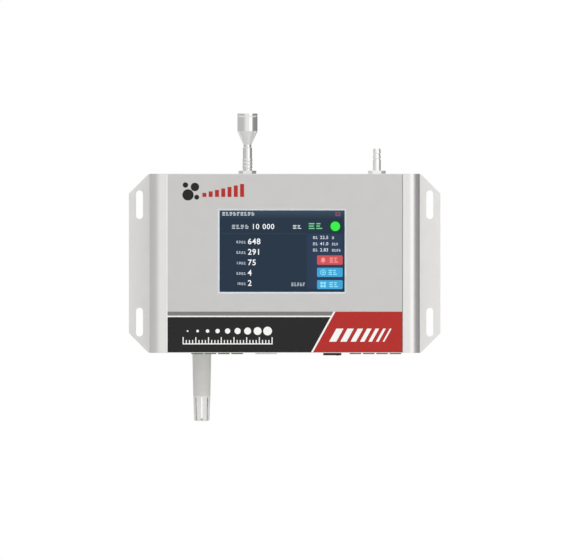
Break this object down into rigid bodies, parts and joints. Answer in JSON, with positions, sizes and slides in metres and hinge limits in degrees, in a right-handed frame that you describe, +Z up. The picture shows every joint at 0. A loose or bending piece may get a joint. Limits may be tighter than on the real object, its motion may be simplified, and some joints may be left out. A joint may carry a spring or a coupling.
{
  "type": "airborne particle counter",
  "caption": "Wall-mounted airborne particle counter with colour display, sampling cup and exhaust barb on top, connectors, switch and a humidity probe below.",
  "frame": {"origin": "middle of the back face that lies on the wall", "axes": "+Y points into the wall, +Z up, +X to the right of someone who reads the screen; the front faces -Y"},
  "size_m": [0.244, 0.068, 0.2405],
  "materials": {
    "chassis_metal": "light grey powder coat",
    "cover_metal": "fine satin anodised",
    "overlay": "satin printed film",
    "print_dark": "satin printed film",
    "print_red": "satin printed film",
    "print_white": "satin printed film",
    "print_grey": "satin printed film",
    "bezel_plastic": "satin moulded",
    "display_glass": "dark glossy display",
    "lcd": "dark display",
    "circuit_board": "solder mask",
    "screw_steel": "zinc plated",
    "polished_steel": "turned and polished",
    "brass": "turned",
    "seal_rubber": "black elastomer",
    "hose_rubber": "translucent grey silicone",
    "black_aluminium": "black anodised",
    "black_plastic": "fine moulded",
    "white_plastic": "fine moulded",
    "terminal_green": "moulded polyamide",
    "pin_tin": "tin plated",
    "contact_gold": "gold flashed",
    "jack_metal": "nickel plated",
    "probe_plastic": "satin off-white"
  },
  "bodies": {
    "instrument": {"blower_bracket": "jack_metal", "blower_cover": "black_plastic", "blower_housing": "black_plastic", "blower_motor": "jack_metal", "board_screws": "screw_steel", "board_standoffs": "brass", "chassis_screws": "screw_steel", "chassis_tray": "chassis_metal", "cover_screws": "screw_steel", "dark_band_print": "print_dark", "detector_board": "circuit_board", "display_bezel": "bezel_plastic", "display_board": "circuit_board", "display_screws": "screw_steel", "ethernet_contacts": "contact_gold", "ethernet_insert": "black_plastic", "ethernet_shield": "jack_metal", "exhaust_filter": "white_plastic", "exhaust_fitting": "polished_steel", "exhaust_hose": "hose_rubber", "filter_clip": "black_plastic", "filter_hose": "hose_rubber", "front_overlay": "overlay", "grey_stripe_print": "print_grey", "housing_cover": "cover_metal", "inlet_fitting": "polished_steel", "inlet_jet": "brass", "laser_module": "brass", "lcd_panel": "lcd", "light_trap": "black_plastic", "main_board": "circuit_board", "outlet_jet": "brass", "port_nuts": "polished_steel", "port_seals": "seal_rubber", "probe_body": "probe_plastic", "probe_cap": "probe_plastic", "probe_nut": "white_plastic", "probe_sensor_board": "circuit_board", "red_field_print": "print_red", "sample_hose": "hose_rubber", "sampling_cup": "polished_steel", "sensor_block": "black_aluminium", "sensor_spacers": "screw_steel", "switch_frame": "black_plastic", "switch_tabs": "brass", "terminal_block_1": "terminal_green", "terminal_block_2": "terminal_green", "terminal_block_3": "terminal_green", "terminal_block_4": "terminal_green", "terminal_block_5": "terminal_green", "terminal_block_6": "terminal_green", "terminal_block_7": "terminal_green", "terminal_block_8": "terminal_green", "terminal_pins": "pin_tin", "touch_glass": "display_glass", "transfer_hose": "hose_rubber", "white_line_print": "print_white"},
    "power_rocker": {"switch_rocker": "black_plastic"},
    "blower_rotor": {"blower_impeller": "white_plastic", "motor_shaft": "screw_steel"}
  },
  "joints": [
    {"name": "power_rocker_tilt", "type": "hinge", "parent": "instrument", "child": "power_rocker", "pos_m": [0.0372, -0.0545, -0.0696], "axis": [0, 1, 0], "range_deg": [-14, 0]},
    {"name": "blower_spin", "type": "hinge", "parent": "instrument", "child": "blower_rotor", "pos_m": [-0.0291, -0.028, -0.0308], "axis": [0, 0, 1], "continuous": true}
  ]
}
